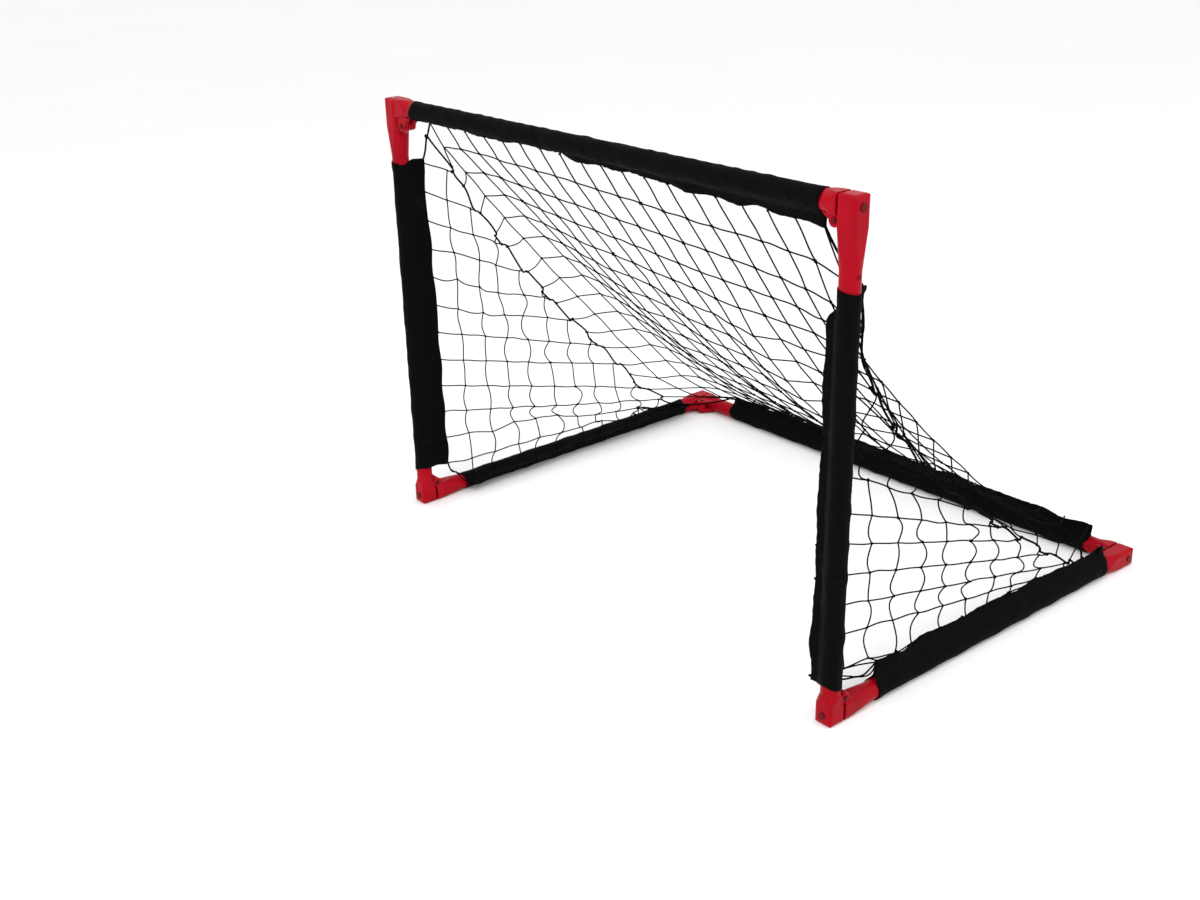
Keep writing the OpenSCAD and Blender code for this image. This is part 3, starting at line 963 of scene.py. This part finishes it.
    def build(self, web, roof, side, seams, s, rng):
        """Mesh the settled cords and knots, and hang each side net on its side's body."""
        cord_black = twisted_cord("net_cord_black", tuple(s.colour), 420)
        seam_black = twisted_cord("seam_cord_black", shade(tuple(s.colour), 1.1), 260)
        p = web.points
        nets = {name: CordMesh() for name in ("roof", *SIDES)}
        seam = {name: CordMesh() for name in SIDES}
        for a, b, rest, name, role in web.cords:
            path = self.strand(p[a], p[b], rest, "taut" if name == "roof" else "slack", rng)
            if role == "tie":
                seam[name].tube(path, s.seam / 2, 6)
            elif role == "corner":
                nets[name].tube(path, s.seam * self.FOOT_TIE, 6)
            else:
                nets[name].tube(path, s.cord / 2, 5)
        for name, knots in (("roof", roof), *side.items()):
            for k in knots.values():
                nets[name].knot(p[k], s.knot * uneven(rng, self.KNOT_SPREAD), rng)
        for name, line in seams.items():
            seam[name].tube(self.curve(p[line], rng), s.seam / 2, 8)
            for k in line[1:-1]:
                size = s.seam * self.SEAM_KNOT * uneven(rng, self.KNOT_SPREAD)
                seam[name].knot(p[k], size, rng)
            for end in (0, -1):
                seam[name].knot(p[line[end]], s.seam * self.END_KNOT, rng)
        roof_net = nets["roof"].make("roof_net_mesh", cord_black)
        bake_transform(roof_net)
        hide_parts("roof_net")
        for name in SIDES:
            net = nets[name].make(f"{name}_net_mesh", cord_black)
            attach(net, f"{name}_side")
            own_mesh(net)
            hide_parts(f"{name}_net")
            cord = seam[name].make(f"{name}_seam_cord_mesh", seam_black)
            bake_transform(cord)
            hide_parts(f"{name}_seam_cord")

    def curve(self, points, rng):
        """A thick cord through its knots, wandering a little between them."""
        fine = []
        for k in range(len(points) - 1):
            for t in np.linspace(0, 1, 6)[:-1]:
                before = points[max(k - 1, 0)]
                after = points[min(k + 2, len(points) - 1)]
                a, b = points[k], points[k + 1]
                fine.append(0.5 * (2 * a + (b - before) * t
                                   + (2 * before - 5 * a + 4 * b - after) * t * t
                                   + (3 * a - before - 3 * b + after) * t ** 3))
        fine.append(points[-1])
        fine = np.array(fine)
        place = np.linspace(0, self.SEAM_LENGTH, len(fine))
        for axis in (Y, Z, X):
            wander = Waves(rng, 6, 0.04, 0.12)
            fine += np.outer(self.WANDER * wander.at(place), axis)
        return fine


# ---------------------------------------------------------------- fittings and stage


class GOAL_OT_fittings(bpy.types.Operator):
    """Finish the corner fittings, tubes, pins, rivets and screws"""

    bl_idname = "goal.fittings"
    bl_label = "Fittings and hardware"

    def execute(self, context):
        finishes = {
            "fitting_plastic": moulded_plastic(context.scene.goal.fittings),
            "tube_plastic": tube_plastic(),
            "steel": painted_steel(),
        }
        for part in frame["record"]["subparts"]:
            if part["material_slot"] in finishes:
                obj = frame["nodes"][part["node"]]
                dress(obj, finishes[part["material_slot"]], smooth=False)
        return {"FINISHED"}


class GOAL_OT_stage(bpy.types.Operator):
    """Set the floor, the soft lights and the camera"""

    bl_idname = "goal.stage"
    bl_label = "Stage"

    CAMERA_AT = (2.045, -2.111, 1.426)
    # In degrees: round the goal from its front, above the floor, and tilted
    AZIMUTH, ELEVATION, ROLL = 51.8, 24.0, -1.9
    SHIFT = (0.0258, 0.0267)
    FLOOR_HALF = 30.0
    WORLD_STRENGTH = 1.07
    # Soft lights: name, place, what it faces, size and power
    LIGHTS = (
        ("key", (1.6, -3.4, 3.6), (0, 0, 0.4), 2.4, 105),
        ("fill", (3.6, 1.2, 2.6), (0, 0, 0.3), 2.2, 40),
    )

    def camera(self, context):
        data = bpy.data.cameras.new("camera")
        data.lens = context.scene.goal.stage.lens
        data.sensor_width = 36
        data.shift_x, data.shift_y = self.SHIFT
        data.clip_end = 100
        obj = bpy.data.objects.new("camera", data)
        context.scene.collection.objects.link(obj)
        a, e, r = (math.radians(v) for v in (self.AZIMUTH, self.ELEVATION, self.ROLL))
        back = Vector((math.sin(a) * math.cos(e), -math.cos(a) * math.cos(e), math.sin(e)))
        right = Vector((math.cos(a), math.sin(a), 0))
        up = back.cross(right)
        level = math.cos(r) * right + math.sin(r) * up
        upright = -math.sin(r) * right + math.cos(r) * up
        turn = Matrix((level, upright, back)).transposed().to_4x4()
        obj.matrix_world = Matrix.Translation(self.CAMERA_AT) @ turn
        context.scene.camera = obj

    def area(self, context, name, at, towards, size, power):
        data = bpy.data.lights.new(name, "AREA")
        data.shape = "SQUARE"
        data.size = size
        data.energy = power
        obj = bpy.data.objects.new(name, data)
        context.scene.collection.objects.link(obj)
        obj.location = at
        obj.rotation_euler = (Vector(towards) - Vector(at)).to_track_quat("-Z", "Y").to_euler()

    def execute(self, context):
        self.camera(context)
        half = self.FLOOR_HALF
        corners = [(-half, -half, 0), (half, -half, 0), (half, half, 0), (-half, half, 0)]
        finish = floor_finish(context.scene.goal.stage)
        floor = mesh_object("floor", corners, [(0, 1, 2, 3)], finish, smooth=False)
        world = bpy.data.worlds.new("studio")
        world.use_nodes = True
        background = world.node_tree.nodes["Background"]
        background.inputs["Color"].default_value = (1, 1, 1, 1)
        background.inputs["Strength"].default_value = self.WORLD_STRENGTH
        context.scene.world = world
        context.scene.view_settings.view_transform = "Standard"
        for light in self.LIGHTS:
            self.area(context, *light)
        return {"FINISHED"}


class GOAL_PT_panel(bpy.types.Panel):
    """Lists the goal's makers"""

    bl_idname = "GOAL_PT_panel"
    bl_label = "Folding goal"
    bl_space_type = "VIEW_3D"
    bl_region_type = "UI"
    bl_category = "Goal"

    def draw(self, context):
        settings = context.scene.goal
        for title, group in (("Sleeves", settings.sleeves), ("Nets", settings.nets),
                             ("Fittings", settings.fittings), ("Stage", settings.stage)):
            part = self.layout.box()
            part.label(text=title)
            for name in group.bl_rna.properties.keys():
                if name not in ("rna_type", "name"):
                    part.prop(group, name)
        for maker in MAKERS:
            self.layout.operator(maker.bl_idname)


MAKERS = (GOAL_OT_stage, GOAL_OT_sleeves, GOAL_OT_nets, GOAL_OT_fittings)
CLASSES = (
    SleeveSettings, NetSettings, FittingSettings, StageSettings, GoalSettings, *MAKERS,
    GOAL_PT_panel,
)


def register():
    for cls in CLASSES:
        bpy.utils.register_class(cls)
    bpy.types.Scene.goal = PointerProperty(type=GoalSettings)


def unregister():
    del bpy.types.Scene.goal
    for cls in reversed(CLASSES):
        bpy.utils.unregister_class(cls)


def main():
    register()
    for make in (bpy.ops.goal.stage, bpy.ops.goal.sleeves, bpy.ops.goal.nets,
                 bpy.ops.goal.fittings):
        make()


if __name__ == "__main__":
    main()
